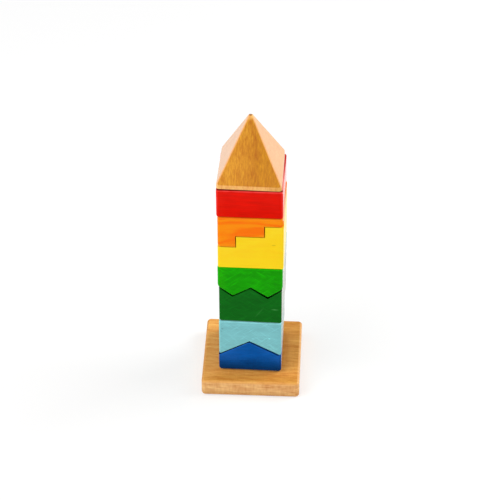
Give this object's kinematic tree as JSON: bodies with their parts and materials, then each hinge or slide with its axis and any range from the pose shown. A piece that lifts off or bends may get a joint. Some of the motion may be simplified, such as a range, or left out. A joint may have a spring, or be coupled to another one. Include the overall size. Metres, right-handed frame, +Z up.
{
  "type": "stacking tower toy",
  "caption": "Square wooden stacking tower: stained blocks with interlocking ridge, zigzag and stair joints, and a pyramid, threaded on a dowel post in a square base plate.",
  "frame": {"origin": "centre of the base plate's underside", "axes": "+Z up along the dowel post, -Y the front face that shows the interlocking joints, +X to the right"},
  "size_m": [0.0772, 0.0772, 0.2438],
  "materials": {
    "beech": "oiled bare beech, fine grain with short flecks, satin",
    "dark_blue_stain": "dark blue water stain on beech, satin, grain showing",
    "light_blue_stain": "pale blue water stain on beech, satin, mottled",
    "dark_green_stain": "dark green water stain on beech, satin",
    "light_green_stain": "bright green water stain on beech, satin, sanding marks",
    "yellow_stain": "yellow water stain on beech, satin",
    "orange_stain": "orange water stain on beech, satin, wavy grain showing",
    "red_stain": "red water stain on beech, satin"
  },
  "bodies": {
    "base": {"base_plate": "beech", "dowel_post": "beech"},
    "dark_blue": {"dark_blue_block": "dark_blue_stain"},
    "light_blue": {"light_blue_block": "light_blue_stain"},
    "dark_green": {"dark_green_block": "dark_green_stain"},
    "light_green": {"light_green_block": "light_green_stain"},
    "yellow": {"yellow_block": "yellow_stain"},
    "orange": {"orange_block": "orange_stain"},
    "red": {"red_block": "red_stain"},
    "pyramid": {"pyramid_top": "beech"}
  },
  "joints": [
    {"name": "dark_blue_lift", "type": "slide", "parent": "base", "child": "dark_blue", "axis": [0, 0, 1], "range_m": [0, 0.201]},
    {"name": "light_blue_lift", "type": "slide", "parent": "dark_blue", "child": "light_blue", "axis": [0, 0, 1], "range_m": [0, 0.184]},
    {"name": "dark_green_lift", "type": "slide", "parent": "light_blue", "child": "dark_green", "axis": [0, 0, 1], "range_m": [0, 0.151]},
    {"name": "light_green_lift", "type": "slide", "parent": "dark_green", "child": "light_green", "axis": [0, 0, 1], "range_m": [0, 0.124]},
    {"name": "yellow_lift", "type": "slide", "parent": "light_green", "child": "yellow", "axis": [0, 0, 1], "range_m": [0, 0.097]},
    {"name": "orange_lift", "type": "slide", "parent": "yellow", "child": "orange", "axis": [0, 0, 1], "range_m": [0, 0.077]},
    {"name": "red_lift", "type": "slide", "parent": "orange", "child": "red", "axis": [0, 0, 1], "range_m": [0, 0.049]},
    {"name": "pyramid_lift", "type": "slide", "parent": "red", "child": "pyramid", "axis": [0, 0, 1], "range_m": [0, 0.024]}
  ]
}
